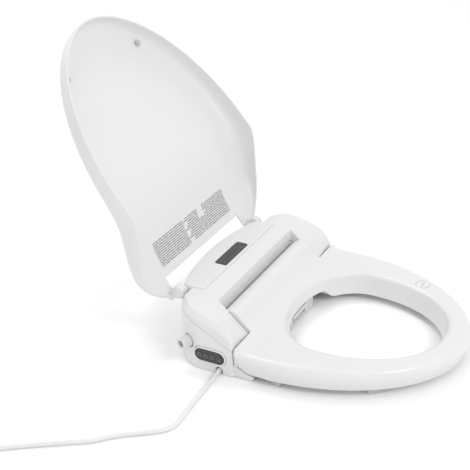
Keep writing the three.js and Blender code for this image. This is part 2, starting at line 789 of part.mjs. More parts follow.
function buildUnit() {
  add('mount_plate', mountPlate(), steel);
  add('lower_case', lowerCase(), white);
  add('upper_cover', upperCover(), white);
  add('centre_panel', centrePanel(), white);
  add('display_window', displayWindow(), charcoal);
  const boardTop = bridgeHeight - 6 - 2;
  add('display_board', box(-40, 40, panelFrontY + 6, 14, boardTop - 1.6, boardTop), boardGreen);
}

// ---- Controls ----------------------------------------------------------------------------

function buttonCentres() {
  return [1.5, 0.5, -0.5, -1.5].map((step) => oval.y - step * buttonPitch);
}

function controlPanel() {
  const shape = ovalShape(-0.2);
  buttonCentres().forEach((y) => {
    shape.holes.push(new THREE.Path().absarc(y, oval.z, buttonRadius + GAP, 0, 2 * Math.PI));
  });
  return fromYZ(shape, -unitHalf - 0.8, -unitHalf + 1.4, 6);
}

function controlBezel() {
  const shape = ovalShape(oval.rim);
  shape.holes.push(ovalShape(0.1, THREE.Path));
  return fromYZ(shape, -unitHalf - 1.5, -unitHalf + 3, 6);
}

function button(y) {
  const flange = buttonRadius + 1.2;
  const profile = [[0, 0], [flange, 0], [flange, 1.2], [buttonRadius, 1.2],
    [buttonRadius, 4.6], [buttonRadius - 1, 5.2], [0, 5.5]];
  return turned(profile, [-unitHalf + 3.2, y, oval.z], [-1, 0, 0], 16);
}

function buildControls() {
  add('control_bezel', controlBezel(), white);
  add('control_panel', controlPanel(), charcoal);
  buttonCentres().forEach((y, i) => add(`button_${i + 1}`, button(y), softButton));
  const back = -unitHalf + 6.5;
  add('control_board', box(back, back + 1.6, oval.y - 27, oval.y + 24, oval.z - 12, oval.z + 12), boardGreen);
}

// ---- Nozzles -----------------------------------------------------------------------------

const slideDirection = [0, -Math.cos(rad(nozzleSlope)), -Math.sin(rad(nozzleSlope))];

// A long box about the nozzles' sloping axis, `from` and `to` behind the nozzle tips.
function slopingBox(halfWidth, halfHeight, from, to) {
  const geometry = box(-halfWidth, halfWidth, from, to, -halfHeight, halfHeight);
  return geometry.rotateX(rad(nozzleSlope)).translate(0, nozzleTip.y, nozzleTip.z);
}

function nozzleHousing() {
  const rear = bridgeFrontY - 0.5;
  const body = alongX(
    [[rear, 2.5], [housingFrontY, 2.5], [housingFrontY, housingTopFront - 4],
      [housingFrontY + 4, housingTop(housingFrontY + 4)], [rear, housingTopRear]],
    -housingHalf,
    housingHalf
  );
  const ribs = [...steps(4, -housingHalf + 3, -33), ...steps(4, 33, housingHalf - 3)].map((x) =>
    box(x - 0.9, x + 0.9, housingFrontY - 1.2, housingFrontY + 1, 5, housingTopFront - 6)
  );
  const channel = slopingBox(27, 7.6, -30, 100);
  const dryer = slopingBox(7.5, 6, -30, 100).translate(-42, 0, 0);
  return cut(join(body, ...ribs), channel, dryer);
}

function nozzleGuide() {
  const block = slopingBox(26.6, 7.2, 14, 70);
  const bores = [-1, 1].map((side) => nozzleRod(side, nozzleRadius + 0.4, -5, 120));
  return cut(block, ...bores);
}

// A rod on a nozzle's axis, `from` and `to` behind the nozzle tip.
function nozzleRod(side, radius, from, to) {
  const start = [side * nozzleSpacing, nozzleTip.y, nozzleTip.z].map(
    (value, i) => value - slideDirection[i] * from
  );
  return rod(start, slideDirection.map((value) => -value), to - from, radius);
}

function nozzle(side) {
  const start = [side * nozzleSpacing, nozzleTip.y, nozzleTip.z];
  const r = nozzleRadius;
  const profile = [[0, 0], [r - 2, 0], [r - 0.5, 1.5], [r, 4], [r, nozzleLength], [0, nozzleLength]];
  const spray = rod(
    [start[0], start[1] + 7, start[2] + 3],
    [0, -0.4, 1],
    8,
    1.2,
    10
  );
  return cut(turned(profile, start, slideDirection.map((value) => -value)), spray);
}

function nozzleMotor(side) {
  const x = side * nozzleSpacing;
  const rearY = nozzleTip.y + nozzleLength + 4;
  return join(
    box(x - 12, x + 12, rearY, rearY + 20, 30, 52),
    rod([x, rearY + 10, 40], [0, 0, 1], 24, 9)
  );
}

function nozzleGate() {
  const topZ = housingTopFront - 3.4;
  const plate = box(-25, 25, housingFrontY - 1.9, housingFrontY - 0.5, 19.6, topZ);
  return join(plate, rod([-27, housingFrontY - 1.9, topZ], [1, 0, 0], 54, 1.2, 12));
}

function buildNozzles() {
  add('nozzle_housing', nozzleHousing(), satinWhite);
  add('nozzle_guide', nozzleGuide(), darkPlastic);
  add('nozzle_gate', nozzleGate(), satinWhite);
  sides.forEach(([name, side]) => {
    add(`nozzle_${name}`, nozzle(side), satinWhite);
    add(`nozzle_motor_${name}`, nozzleMotor(side), darkPlastic);
  });
}

// ---- Water, air and electrics inside the unit --------------------------------------------

function inletConnector() {
  const bore = 6;
  const profile = [[bore, -13], [inletRadius + 3, -13], [inletRadius + 3, -10.5], [inletRadius, -10.5],
    [inletRadius, 15], [inletRadius - 1, 16], [bore, 16], [bore, -13]];
  return turned(profile, inletRoot, inletDirection, 32);
}

function solenoidValve() {
  const x = -unitHalf + 18;
  return join(
    box(x + 3, x + 28, -42, -16, 32, 56),
    rod([x + 15, -29, 50], [0, 0, 1], 26, 9)
  );
}

const tank = { x: 44, length: 62, front: -36, rear: 18, height: 50 };

function waterTank() {
  const shape = roundedRect(tank.x, tank.x + tank.length, tank.front, tank.rear, 8);
  return upright(shape, floorZ + 2, floorZ + 2 + tank.height);
}

// Hose from the valve, under the nozzle motors, to the tank.
function inletHose() {
  const z = floorZ + 8;
  const path = new THREE.CatmullRomCurve3([
    new THREE.Vector3(-unitHalf + 33, -29, 31),
    new THREE.Vector3(-unitHalf + 33, -29, z + 10),
    new THREE.Vector3(-unitHalf + 44, -22, z),
    new THREE.Vector3(-60, -4, z),
    new THREE.Vector3(10, -4, z),
    new THREE.Vector3(tank.x - GAP, -4, z),
  ]);
  const section = new THREE.Shape().absarc(0, 0, 4, 0, 2 * Math.PI);
  return new THREE.ExtrudeGeometry(section, { steps: 24, extrudePath: path, curveSegments: 5 });
}

const blower = { x: -86, y: -10, z: 28, radius: 26, height: 26 };

function blowerHousing() {
  const { x, y, z, radius, height } = blower;
  const outlet = box(x, x + radius + 6, y - radius, y - 6, z, z + height);
  const shell = join(rod([x, y, z], [0, 0, 1], height, radius, 32), outlet);
  const chamber = rod([x, y, z + 2], [0, 0, 1], height - 4, radius - 2, 32);
  const mouth = box(x, x + radius + 10, y - radius + 2, y - 8, z + 2, z + height - 2);
  const eye = rod([x, y, z + height - 5], [0, 0, 1], 10, 12);
  return cut(shell, chamber, mouth, eye);
}

function blowerImpeller() {
  const { x, y, z, height } = blower;
  const hub = rod([x, y, z + 4], [0, 0, 1], height - 8, 5);
  const disc = rod([x, y, z + 4], [0, 0, 1], 1.6, 20, 28);
  const blades = Array.from({ length: 12 }, (_, i) => {
    const blade = box(13, 19.5, -0.6, 0.6, z + 5, z + height - 4);
    return blade.rotateZ((i * Math.PI) / 6).translate(x, y, 0);
  });
  return join(hub, disc, ...blades);
}

// Channel that carries the warm air from the blower to the nozzle housing.
function dryerDuct() {
  const x0 = blower.x + blower.radius + 6 + GAP;
  const x1 = -33;
  const [y0, y1] = [bridgeFrontY + WALL + GAP, blower.y - 6];
  const [z0, z1] = [blower.z, blower.z + blower.height];
  const outside = box(x0, x1, y0, y1, z0, z1);
  return cut(outside, box(x0 + 2, x1 - 2, y0 - 5, y1 - 2, z0 + 2, z1 - 2),
    box(x0 - 5, x0 + 5, blower.y - blower.radius + 2, y1 - 2, z0 + 2, z1 - 2));
}

function mainBoard() {
  const x = unitHalf - 10;
  return box(x - 1.6, x, podFrontY + 14, rearCentreY + 6, floorZ + 3, floorZ + 43);
}

function transformer() {
  const x = unitHalf - 18;
  const core = box(x - 36, x, podFrontY + 20, podFrontY + 56, floorZ + GAP, floorZ + 30);
  return join(core, box(x - 28, x - 8, podFrontY + 14, podFrontY + 62, floorZ + 4, floorZ + 26));
}

function buildInternals() {
  add('inlet_connector', inletConnector(), white);
  add('solenoid_valve', solenoidValve(), darkPlastic);
  add('inlet_hose', inletHose(), paleRubber);
  add('water_tank', waterTank(), satinWhite);
  add('blower_housing', blowerHousing(), darkPlastic);
  add('blower_impeller', blowerImpeller(), satinWhite);
  add('dryer_duct', dryerDuct(), satinWhite);
  add('main_board', mainBoard(), boardGreen);
  add('transformer', transformer(), steel);
  const seatDamperX = neckHalf + 13.5;
  add('seat_damper', sleeve([seatDamperX, seatHinge.y, seatHinge.z], [1, 0, 0], 24, 8, 4.4), darkPlastic);
  add('lid_damper', rod(lidDamper.start, [-1, 0, 0], lidDamper.length, lidDamper.radius), darkPlastic);
}

// ---- Mains lead --------------------------------------------------------------------------

// A place on the floor plan, given from the exit of the lead.
function fromExit(x, y) {
  return [cordStart + x, cordExit.y + y];
}

const coilCentre = fromExit(...coil.fromExit);

function strainRelief() {
  const start = [cordStart + GAP, cordExit.y, cordExit.z];
  const { length, radius } = cordRelief;
  const profile = [[0, 0], [cordRadius + 0.4, 0], [radius, length], [0, length]];
  return turned(profile, start, [1, 0, 0], 16);
}

function cordTube(points) {
  const path = new THREE.CatmullRomCurve3(points.map((p) => new THREE.Vector3(...p)));
  const section = new THREE.Shape().absarc(0, 0, cordRadius, 0, 2 * Math.PI);
  const count = Math.round(path.getLength() / (2.4 * 2 * cordRadius));
  const options = { steps: count, extrudePath: path, curveSegments: 5 };
  return new THREE.ExtrudeGeometry(section, options);
}

function coilRing() {
  const { inner, outer, height } = coil;
  const profile = [[inner, 0], [outer, 0], [outer, height], [inner, height], [inner, 0]];
  return turned(profile, [...coilCentre, 0], [0, 0, 1], 36);
}

// A clip over the coil, standing on the floor on both sides of the turns.
function coilTie() {
  const clear = 0.8;
  const band = 1.2;
  const [r0, r1] = [coil.inner - clear, coil.outer + clear];
  const outer = box(r0 - band, r1 + band, -4, 4, 0, coil.height + GAP + band);
  const room = box(r0, r1, -5, 5, -1, coil.height + GAP);
  return cut(outer, room).rotateZ(rad(60)).translate(...coilCentre, 0);
}

const z0 = cordRadius + 0.05;

// From the unit across the floor, to the outside of the coil.
const cordPlan = [
  [-27.2, 0], [-67.2, -2], [-107.2, -4], [-141.2, -7], [-167.2, 3],
  [-201.2, 49], [-218.2, 69], [-236.2, 87], [-264.2, 131], [-307.2, 195], [-330.2, 224],
];
const cordRoute = [
  [cordStart, cordExit.y, cordExit.z],
  ...cordPlan.map(([x, y]) => [...fromExit(x, y), z0]),
];

// From the far side of the coil to the plug.
const coilAlong = [0.785, 0.62];
const coilAcross = [-0.62, 0.785];
const plugLength = 42;

function pastCoil(along, z) {
  const out = coil.outer - cordRadius;
  const x = coilCentre[0] + coilAcross[0] * out + coilAlong[0] * along;
  const y = coilCentre[1] + coilAcross[1] * out + coilAlong[1] * along;
  return [x, y, z];
}

const tailStart = 26;
const plugStart = 76;
const plugZ = 13;

function plugBody() {
  const profile = [[0, 0], [5, 0], [6, 12], [12, 20], [12.5, plugLength - 2], [11.5, plugLength], [0, plugLength]];
  return turned(profile, pastCoil(plugStart, plugZ), [...coilAlong, 0], 20);
}

function plugPin(across, rise) {
  const [x, y, z] = pastCoil(plugStart + plugLength + GAP, plugZ + rise);
  const start = [x - coilAlong[1] * across, y + coilAlong[0] * across, z];
  return rod(start, [...coilAlong, 0], 16, rise > 0 ? 2.4 : 2, 10);
}

function buildLead() {
  add('cord_relief', strainRelief(), white);
  add('cord_tube', cordTube(cordRoute), white);
  const tail = [[tailStart, z0], [40, z0], [58, 8], [plugStart - 3, plugZ], [plugStart - GAP, plugZ]];
  add('cord_tail', cordTube(tail.map(([along, z]) => pastCoil(along, z))), white);
  add('plug_body', plugBody(), white);
  add('plug_pin_left', plugPin(-6.3, -2), steel);
  add('plug_pin_right', plugPin(6.3, -2), steel);
  add('plug_pin_earth', plugPin(0, 6), steel);
  add('cord_coil', coilRing(), white);
  add('cord_tie', coilTie(), darkPlastic);
}

buildSeat();
buildLid();
buildUnit();
buildControls();
buildNozzles();
buildInternals();
buildLead();

export default bidetSeat;
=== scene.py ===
"""Electric bidet seat with its lid open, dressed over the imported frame."""

import json
import math

import bmesh
import bpy
import numpy as np
from mathutils import Matrix, Vector


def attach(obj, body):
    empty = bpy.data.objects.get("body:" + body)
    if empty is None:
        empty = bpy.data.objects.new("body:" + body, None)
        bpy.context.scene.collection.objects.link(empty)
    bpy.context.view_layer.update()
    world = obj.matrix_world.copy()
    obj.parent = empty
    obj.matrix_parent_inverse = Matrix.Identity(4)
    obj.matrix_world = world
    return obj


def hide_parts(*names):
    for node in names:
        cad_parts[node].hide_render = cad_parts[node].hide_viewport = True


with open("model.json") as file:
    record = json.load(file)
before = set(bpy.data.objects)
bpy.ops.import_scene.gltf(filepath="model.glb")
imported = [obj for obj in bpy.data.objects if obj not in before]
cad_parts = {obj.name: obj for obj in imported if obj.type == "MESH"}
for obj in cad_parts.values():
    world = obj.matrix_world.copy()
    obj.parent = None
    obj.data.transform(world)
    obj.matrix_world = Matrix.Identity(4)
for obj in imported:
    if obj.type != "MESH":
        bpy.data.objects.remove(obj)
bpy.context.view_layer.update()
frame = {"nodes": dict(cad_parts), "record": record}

MM = 0.001

# ---- Driving dimensions, in millimetres --------------------------------------------------

GAP = 0.3
WALL = 3.0

SEAT_HALF = 198.0
SEAT_TIP = -420.5
SEAT_STRAIGHT = -150.0
SEAT_DEPTH = SEAT_STRAIGHT - SEAT_TIP
SEAT_END = -101.5
SEAT_BOTTOM = 12.0
SEAT_CROWN = 48.5
SEAT_POWER = 1.93
FRONT_RIM = 45.5
SIDE_RIM = 78.0

OPENING_Y = -215.0
OPENING_REAR = -127.0
OPENING_HALF = SEAT_HALF - SIDE_RIM
OPENING_POWER = 2.1

HINGE_Y = -68.0
HINGE_Z = 62.0
BARREL = 20.0

UNIT_HALF = 194.0
POD_WIDTH = 57.5
POD_FRONT = -100.0
POD_INNER = UNIT_HALF - POD_WIDTH
NECK_HALF = POD_INNER - 0.7
BRIDGE_FRONT = -45.5
BRIDGE_HEIGHT = 106.0
REAR_CENTRE = -40.0
REAR_DEPTH = 90.0
EDGE_FACET = 8.0

PANEL_HALF = POD_INNER - 9.5
PANEL_FRONT = -15.0
PANEL_THICK = 3.0
PANEL_REAR = 60.0

LID_Y = 26.0
LID_Z = 97.0
LID_OPEN = math.radians(129.8)
LID_HALF = 203.0
LID_OVERHANG = 5.0
LID_WALL = 3.5
LID_RIM = 26.5
LID_MIDDLE = -150.0
NOTCH_HALF = 128.0
NOTCH_FRONT = -4.0

OVAL_Y = -58.5
OVAL_Z = 28.5
OVAL_LONG = 53.0
OVAL_HIGH = 22.0
OVAL_RIM = 3.0

CORD_RADIUS = 3.5
CORD_EXIT_Y = -75.0


# ---- Small helpers -----------------------------------------------------------------------

def lerp(a, b, t):
    return a + (b - a) * t


def clamp(value, low, high):
    return max(low, min(high, value))


def smooth(value, low, high):
    t = clamp((value - low) / (high - low), 0.0, 1.0)
    return t * t * (3 - 2 * t)


def spread(low, high, count):
    return [lerp(low, high, i / count) for i in range(count + 1)]


def through(points, parts):
    """A smooth open line through the points, with `parts` steps to each."""
    p = [2 * points[0] - points[1], *points, 2 * points[-1] - points[-2]]
    line = []
    for i in range(1, len(p) - 2):
        for k in range(parts):
            t = k / parts
            a = 2 * p[i]
            b = (p[i + 1] - p[i - 1]) * t
            c = (2 * p[i - 1] - 5 * p[i] + 4 * p[i + 1] - p[i + 2]) * t * t
            d = (3 * p[i] - p[i - 1] - 3 * p[i + 1] + p[i + 2]) * t ** 3
            line.append((a + b + c + d) / 2)
    line.append(p[-2])
    return line


# ---- Camera ------------------------------------------------------------------------------

CAMERA_PLACE = (-1.4590, -0.7963, 1.0159)
CAMERA_RIGHT = (0.4658, -0.8846, -0.0230)
CAMERA_UP = (0.4215, 0.1990, 0.8847)
CAMERA_LENS = 84.26


def make_camera():
    right = Vector(CAMERA_RIGHT)
    up = Vector(CAMERA_UP)
    back = right.cross(up).normalized()
    up = back.cross(right).normalized()
    data = bpy.data.cameras.new("camera")
    data.lens = CAMERA_LENS
    data.sensor_width = 36.0
    data.clip_end = 20.0
    camera = bpy.data.objects.new("camera", data)
    turn = Matrix((right.normalized(), up, back)).transposed().to_4x4()
    camera.matrix_world = Matrix.Translation(Vector(CAMERA_PLACE)) @ turn
    bpy.context.scene.collection.objects.link(camera)
    bpy.context.scene.camera = camera


# ---- Materials ---------------------------------------------------------------------------

CLOUD_SCALE = 14.0
GRAIN_DEPTH = 0.0002
COAT_ROUGHNESS = 0.12


def add_cloud(nodes, links, place, colour, roughness, shader):
    """Soft patches over which the colour and the roughness vary a little."""
    cloud = nodes.new("ShaderNodeTexNoise")
    cloud.inputs["Scale"].default_value = CLOUD_SCALE
    cloud.inputs["Detail"].default_value = 3.0
    links.new(place.outputs["Object"], cloud.inputs["Vector"])
    tint = nodes.new("ShaderNodeMix")
    tint.data_type = "RGBA"
    tint.inputs["A"].default_value = (*[c * 0.985 for c in colour], 1)
    tint.inputs["B"].default_value = (*[min(1.0, c * 1.01) for c in colour], 1)
    links.new(cloud.outputs["Fac"], tint.inputs["Factor"])
    links.new(tint.outputs["Result"], shader.inputs["Base Color"])
    rough = nodes.new("ShaderNodeMapRange")
    rough.inputs["To Min"].default_value = roughness * 0.9
    rough.inputs["To Max"].default_value = roughness * 1.12
    links.new(cloud.outputs["Fac"], rough.inputs["Value"])
    links.new(rough.outputs["Result"], shader.inputs["Roughness"])


def add_grain(nodes, links, place, strength, scale, shader):
    """The fine grain of a moulded skin."""
    fine = nodes.new("ShaderNodeTexNoise")
    fine.inputs["Scale"].default_value = scale
    fine.inputs["Detail"].default_value = 2.0
    links.new(place.outputs["Object"], fine.inputs["Vector"])
    bump = nodes.new("ShaderNodeBump")
    bump.inputs["Strength"].default_value = strength
    bump.inputs["Distance"].default_value = GRAIN_DEPTH
    links.new(fine.outputs["Fac"], bump.inputs["Height"])
    links.new(bump.outputs["Normal"], shader.inputs["Normal"])


def plastic(name, colour, roughness, grain=0.0, scale=900.0, coat=0.0, metal=0.0):
    """Moulded plastic or metal: its colour varies a little and its skin has a fine grain."""
    material = bpy.data.materials.new(name)
    material.use_nodes = True
    nodes = material.node_tree.nodes
    links = material.node_tree.links
    shader = nodes["Principled BSDF"]
    shader.inputs["Metallic"].default_value = metal
    shader.inputs["Coat Weight"].default_value = coat
    shader.inputs["Coat Roughness"].default_value = COAT_ROUGHNESS
    place = nodes.new("ShaderNodeTexCoord")
    add_cloud(nodes, links, place, colour, roughness, shader)
    if grain:
        add_grain(nodes, links, place, grain, scale, shader)
    return material


# Each look is (colour, roughness, strength of the grain, scale of the grain)
WHITE_GLOSS = ((0.73, 0.728, 0.733), 0.34, 0.04, 700)
CHARCOAL = ((0.018, 0.019, 0.022), 0.22, 0.10, 2200)
STEEL = ((0.56, 0.57, 0.59), 0.34, 0.2, 500)
PLAIN = {
    "white_satin": ((0.70, 0.70, 0.70), 0.48, 0.12, 1200),
    "grey_button": ((0.045, 0.047, 0.052), 0.38, 0.15, 1500),
    "pale_rubber": ((0.52, 0.52, 0.51), 0.75, 0.35, 1500),
    "board": ((0.03, 0.16, 0.07), 0.5, 0.3, 300),
    "copper_film": ((0.45, 0.22, 0.09), 0.4, 0.1, 800),
    "dark_plastic": ((0.035, 0.036, 0.04), 0.55, 0.3, 1500),
    "cord_white": ((0.76, 0.76, 0.755), 0.45, 0.2, 900),
    "print_grey": ((0.36, 0.365, 0.38), 0.6, 0.1, 900),
    "key_print": ((0.05, 0.052, 0.057), 0.5, 0.1, 900),
    "print_dark": ((0.16, 0.16, 0.17), 0.6, 0.1, 900),
}


def make_materials():
    made = {
        "white_gloss": plastic("white_gloss", *WHITE_GLOSS, coat=0.15),
        "charcoal": plastic("charcoal", *CHARCOAL, coat=0.4),
        "steel": plastic("steel", *STEEL, metal=1.0),
    }
    for name, look in PLAIN.items():
        made[name] = plastic(name, *look)
    return made


def dress_frame_nodes(materials):
    slots = {part["node"]: part["material_slot"] for part in frame["record"]["subparts"]}
    for name, node in frame["nodes"].items():
        node.data.materials.clear()
        node.data.materials.append(materials[slots[name]])


# ---- Mesh building -----------------------------------------------------------------------

def piece(name, points, faces, material, body, sharp=35.0):
    """A piece from points in millimetres, shaded smooth except across sharp edges."""
    mesh = bpy.data.meshes.new(name)
    mesh.from_pydata([[c * MM for c in p] for p in points], [], faces)
    tool = bmesh.new()
    tool.from_mesh(mesh)
    bmesh.ops.remove_doubles(tool, verts=tool.verts, dist=1e-6)
    bmesh.ops.recalc_face_normals(tool, faces=tool.faces)
    tool.to_mesh(mesh)
    tool.free()
    obj = bpy.data.objects.new(name, mesh)
    bpy.context.scene.collection.objects.link(obj)
    shade(obj, sharp)
    if material:
        mesh.materials.append(material)
    if body:
        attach(obj, body)
    return obj


def shade(obj, sharp):
    obj.data.polygons.foreach_set("use_smooth", [True] * len(obj.data.polygons))
    obj.data.set_sharp_from_angle(angle=math.radians(sharp))


def loft(rings, around=False):
    n = len(rings[0])
    points = [p for ring in rings for p in ring]
    faces = []
    last = len(rings) if around else len(rings) - 1
    for i in range(last):
        j = (i + 1) % len(rings)
        for k in range(n):
            m = (k + 1) % n
            faces.append((i * n + k, j * n + k, j * n + m, i * n + m))
    if not around:
        faces.append(tuple(range(n))[::-1])
        faces.append(tuple(range((len(rings) - 1) * n, len(rings) * n)))
    return points, faces


def bake_modifiers(obj):
    graph = bpy.context.evaluated_depsgraph_get()
    done = bpy.data.meshes.new_from_object(obj.evaluated_get(graph))
    old = obj.data
    obj.modifiers.clear()
    obj.data = done
    bpy.data.meshes.remove(old)


def boolean(obj, tools, operation):
    for tool in tools:
        step = obj.modifiers.new("cut", "BOOLEAN")
        step.operation = operation
        step.solver = "EXACT"
        step.object = tool
        bake_modifiers(obj)
        bpy.data.objects.remove(tool)


def soften(obj, voxel, rounds):
    """Rounds every edge of a solid a little, as a mould does."""
    remesh = obj.modifiers.new("remesh", "REMESH")
    remesh.mode = "VOXEL"
    remesh.voxel_size = voxel * MM
    ease = obj.modifiers.new("ease", "SMOOTH")
    ease.factor = 0.5
    ease.iterations = rounds
    bake_modifiers(obj)
    shade(obj, 180)


def block(name, low, high):
    x, y, z = zip(low, high)
    points = [(a, b, c) for a in x for b in y for c in z]
    faces = [(0, 1, 3, 2), (4, 6, 7, 5), (0, 4, 5, 1), (2, 3, 7, 6), (0, 2, 6, 4), (1, 5, 7, 3)]
    return piece(name, points, faces, None, None)


def turned(name, profile, start, direction, sides, material=None, body=None, sharp=35.0):
    """A profile of (radius, distance) turned about a line; it starts and ends on the axis or closes."""
    axis = Vector(direction).normalized()
    side = axis.orthogonal().normalized()
    other = axis.cross(side)
    start = Vector(start)
    rings = []
    for k in range(sides):
        angle = 2 * math.pi * k / sides
        out = side * math.cos(angle) + other * math.sin(angle)
        rings.append([tuple(start + axis * s + out * r) for r, s in profile])
    n = len(profile)
    points = [p for ring in rings for p in ring]
    faces = []
    closed = profile[0][0] > 1e-6
    for i in range(sides):
        j = (i + 1) % sides
        for k in range(n if closed else n - 1):
            m = (k + 1) % n
            faces.append((i * n + k, j * n + k, j * n + m, i * n + m))
    return piece(name, points, faces, material, body, sharp)


def drawn_along_x(name, outline, x0, x1, material=None, body=None):
    """A polygon of (y, z) points drawn out along X."""
    n = len(outline)
    points = [(x, y, z) for x in (x0, x1) for y, z in outline]
    faces = [tuple(range(n)), tuple(range(n, 2 * n))[::-1]]
    faces += [(k, n + k, n + (k + 1) % n, (k + 1) % n) for k in range(n)]
    return piece(name, points, faces, material, body)


def stadium(grow, count=24):
    half, high = OVAL_LONG / 2 + grow, OVAL_HIGH / 2 + grow
    points = []
    for side, start in ((1, -90), (-1, 90)):
        for k in range(count + 1):
            a = math.radians(start + 180 * k / count)
            y = OVAL_Y + side * (half - high) + high * math.cos(a)
            points.append((y, OVAL_Z + high * math.sin(a)))
    return points


# ---- Seat --------------------------------------------------------------------------------

BARREL_TANGENT = -84.0
BARREL_CLEARANCE = 0.7
RAMP_START = -125.0
RAMP_SLOPE = 0.55
ARCH_START = -126.0
ARCH_LENGTH = 80.0
ARCH_LOW = 28.0
ARCH_HIGH = 43.0
ARCH_CLEARANCE = 2.2
ARCH_HALF = 66.0
ARCH_FADE = 91.0
CORNER = 6.0
BASE_INSET = 2.8
BASE_THICK = 2.5
BASE_LIFT = 0.05

# Outer profiles of the seat from the bottom up, as (inset, share of the height)
SIDE_PROFILE = [(7.0, 0), (3.15, 0.3), (0, 0.62), (1.2, 0.82), (5, 0.95), (12, 1)]
END_PROFILE = [(0.6, 0), (0, 0.3), (0, 0.62), (0.6, 0.82), (2, 0.95), (6, 1)]
NECK_PROFILE = [(0, 0), (0, 0.3), (0, 0.62), (0, 0.82), (0.3, 0.95), (1.5, 1)]

# The opening's edge from the top down, in the same terms, and the way from it to the crown
BRINK = 15
HOLE_PROFILE = [(9, 0.92), (6.5, 0.75), (3, 0.35), (0, 0)]
TOP_SHARES = (0.9, 0.78, 0.65, 0.52, 0.39, 0.26, 0.13)
BARREL_DEGREES = (-90, -45, -5, 30, 60, 90)


def barrel_top(y):
    across = clamp(y - HINGE_Y, -BARREL, BARREL)
    return HINGE_Z + math.sqrt(BARREL * BARREL - across * across)


def seat_top(y):
    """Level round the opening, then rising to the hinge barrel."""
    if y > BARREL_TANGENT:
        return barrel_top(y)
    start = OPENING_REAR + 2
    t = clamp((y - start) / (BARREL_TANGENT - start), 0, 1)
    return SEAT_CROWN + (barrel_top(BARREL_TANGENT) - SEAT_CROWN) * t * t


def seat_underside(x, y):
    """Level, then a ramp up to the hinges, with an arch over the nozzle housing."""
    highest = HINGE_Z - BARREL - BARREL_CLEARANCE
    ramp = SEAT_BOTTOM + RAMP_SLOPE * max(0, y - RAMP_START)
    along = (max(y, ARCH_START) - ARCH_START) / ARCH_LENGTH
    arch = lerp(ARCH_LOW, ARCH_HIGH, along) + ARCH_CLEARANCE
    over = (1 - smooth(abs(x), ARCH_HALF, ARCH_FADE)) * smooth(y, -175, -140)
    return min(max(ramp, lerp(SEAT_BOTTOM, arch, over)), highest)


def opening_edge(angle):
    front = OPENING_Y - (SEAT_TIP + FRONT_RIM)
    rear = OPENING_REAR - OPENING_Y
    depth = front if math.sin(angle) < 0 else rear
    c = abs(math.cos(angle)) / OPENING_HALF
    s = abs(math.sin(angle)) / depth
    r = (c ** OPENING_POWER + s ** OPENING_POWER) ** (-1 / OPENING_POWER)
    return r * math.cos(angle), OPENING_Y + r * math.sin(angle)


def front_places():
    """From the tip round to the straight side."""
    power = 2 / SEAT_POWER
    places = []
    for t in spread(0, math.pi / 2, 56):
        x = SEAT_HALF * math.sin(t) ** power
        y = SEAT_STRAIGHT - SEAT_DEPTH * abs(math.cos(t)) ** power
        away = math.hypot(x, y - OPENING_Y)
        places.append((x, y, (-x / away, (OPENING_Y - y) / away), SIDE_PROFILE))
    return places


def side_places():
    """The straight side and the rear corner."""
    places = []
    for y in spread(SEAT_STRAIGHT + 2, SEAT_END - CORNER, 8):
        places.append((SEAT_HALF, y, (-1, 0), SIDE_PROFILE))
    steps = 5
    for k in range(1, steps + 1):
        a = math.radians(90 // steps * k)
        x = SEAT_HALF - CORNER + CORNER * math.cos(a)
        y = SEAT_END - CORNER + CORNER * math.sin(a)
        mixed = []
        for p, q in zip(SIDE_PROFILE, END_PROFILE):
            mixed.append((lerp(p[0], q[0], k / steps), q[1]))
        places.append((x, y, (-math.cos(a), -math.sin(a)), mixed))
    return places


def rear_places():
    """The end in front of the pod, the neck beside it and the hinge barrel."""
    places = []
    for x in spread(SEAT_HALF - 14, NECK_HALF + 4, 8):
        places.append((x, SEAT_END, (0, -1), END_PROFILE))
    places.append((NECK_HALF, SEAT_END, (-1, -1), NECK_PROFILE))
    for y in spread(-100, -70, 12):
        places.append((NECK_HALF, y, (-1, 0), NECK_PROFILE))
    for share in [1, 0.985, *spread(0.95, 0, 22)]:
        places.append((NECK_HALF * share, HINGE_Y + BARREL, (0, 0), None))
    return places


def outer_side(place, skin, top):
    """The outer side of the section at a place, from the underside up to the crown."""
    px, py, inward, profile = place
    line = []
    if profile is None:
        radius = BARREL - skin
        for degrees in BARREL_DEGREES:
            y = HINGE_Y + radius * math.cos(math.radians(degrees))
            z = HINGE_Z + radius * math.sin(math.radians(degrees))
            line.append((px, y, z))
        line[0] = (px, line[0][1], seat_underside(px, line[0][1]))
    else:
        for inset, share in profile:
            x = px + inward[0] * (inset + skin)
            y = py + inward[1] * (inset + skin)
            line.append((x, y, lerp(seat_underside(x, y), top(y), share)))
    return line


def seat_section(place, skin, sunk=0.0):
    """The outer side, the top and the opening's edge at a place, as one line."""
    def top(y):
        return seat_top(y) - sunk

    angle = math.atan2(place[1] - OPENING_Y, place[0])
    hole_x, hole_y = opening_edge(angle)

    def from_hole(inset, share):
        x = hole_x + math.cos(angle) * (inset + skin)
        y = hole_y + math.sin(angle) * (inset + skin)
        return x, y, lerp(seat_underside(x, y), top(y), share)

    line = outer_side(place, skin, top)
    brink = from_hole(BRINK, 1)
    crown = line[-1]
    for share in TOP_SHARES:
        x = lerp(brink[0], crown[0], share)
        y = lerp(brink[1], crown[1], share)
        line.append((x, y, top(y)))
    line.append(brink)
    line += [from_hole(inset, share) for inset, share in HOLE_PROFILE]
    return [np.array(p) for p in line]


def round_the_seat(section):
    places = front_places() + side_places() + rear_places()
    right = [section(place) for place in places]
    left = [[(-p[0], p[1], p[2]) for p in ring] for ring in right[1:-1][::-1]]
    return loft([*right, *left], around=True)


def shell_section(place):
    outer = through(seat_section(place, 0), 3)
    inner = through(seat_section(place, WALL, WALL), 2)
    return [tuple(p) for p in outer + inner[::-1]]


